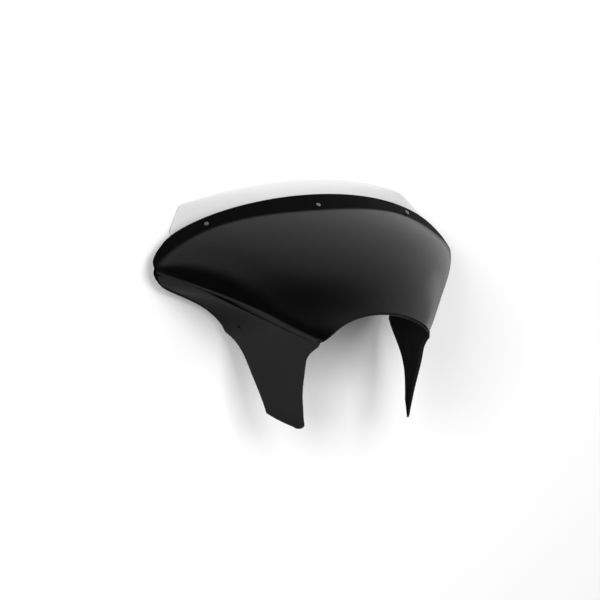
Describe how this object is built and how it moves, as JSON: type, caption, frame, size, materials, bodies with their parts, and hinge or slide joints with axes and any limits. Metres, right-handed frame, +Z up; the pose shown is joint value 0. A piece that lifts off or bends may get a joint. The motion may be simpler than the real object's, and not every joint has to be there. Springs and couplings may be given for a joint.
{
  "type": "motorcycle windshield",
  "caption": "Handlebar windshield: a formed black fairing shell with wings and two legs around a headlight arch, and a low clear screen screwed behind its upper edge.",
  "frame": {"origin": "on the common axis of the two leg holes, midway between the legs", "axes": "+X to the right as seen from the front, +Y to the rear, +Z up as mounted"},
  "size_m": [0.662, 0.3464, 0.4917],
  "materials": {
    "shell": "gloss black, formed sheet",
    "screen": "clear polished acrylic",
    "screws": "zinc plated",
    "spacers": "matt rubber",
    "washers": "zinc plated",
    "nuts": "zinc plated"
  },
  "bodies": {
    "root": {"fairing_shell": "shell", "windscreen": "screen", "screen_screws": "screws", "screen_spacers": "spacers", "nut_washers": "washers", "lock_nuts": "nuts"}
  },
  "joints": []
}
